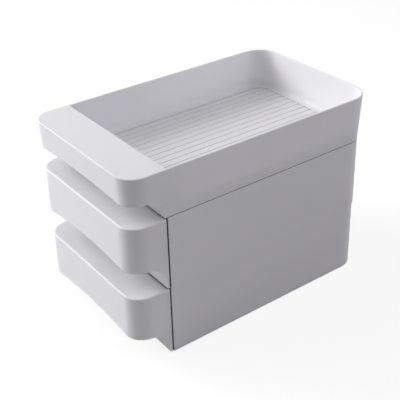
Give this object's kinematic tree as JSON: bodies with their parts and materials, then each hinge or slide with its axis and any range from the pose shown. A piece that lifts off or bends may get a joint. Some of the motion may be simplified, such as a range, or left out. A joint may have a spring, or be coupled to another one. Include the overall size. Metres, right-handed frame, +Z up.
{
  "type": "stackable drawer box",
  "caption": "Stackable rounded drawer casings with lipped pull-out drawers, under an open top tray with a ribbed floor and a finger lip.",
  "frame": {"origin": "middle of the footprint, on the surface that the feet stand on", "axes": "+Z up, the drawers open towards -Y, +X to the right seen from behind the stack"},
  "size_m": [0.1954, 0.3366, 0.2336],
  "materials": {
    "off_white_plastic": "satin",
    "soft_pad": "matt"
  },
  "bodies": {
    "stack": {"lower_casing": "off_white_plastic", "upper_casing": "off_white_plastic", "top_tray": "off_white_plastic", "lower_casing_feet": "soft_pad", "upper_casing_feet": "soft_pad", "tray_feet": "soft_pad"},
    "lower_drawer": {"lower_drawer": "off_white_plastic"},
    "upper_drawer": {"upper_drawer": "off_white_plastic"}
  },
  "joints": [
    {"name": "lower_drawer_slide", "type": "slide", "parent": "stack", "child": "lower_drawer", "axis": [0, -1, 0], "range_m": [0, 0.2]},
    {"name": "upper_drawer_slide", "type": "slide", "parent": "stack", "child": "upper_drawer", "axis": [0, -1, 0], "range_m": [0, 0.2]}
  ]
}
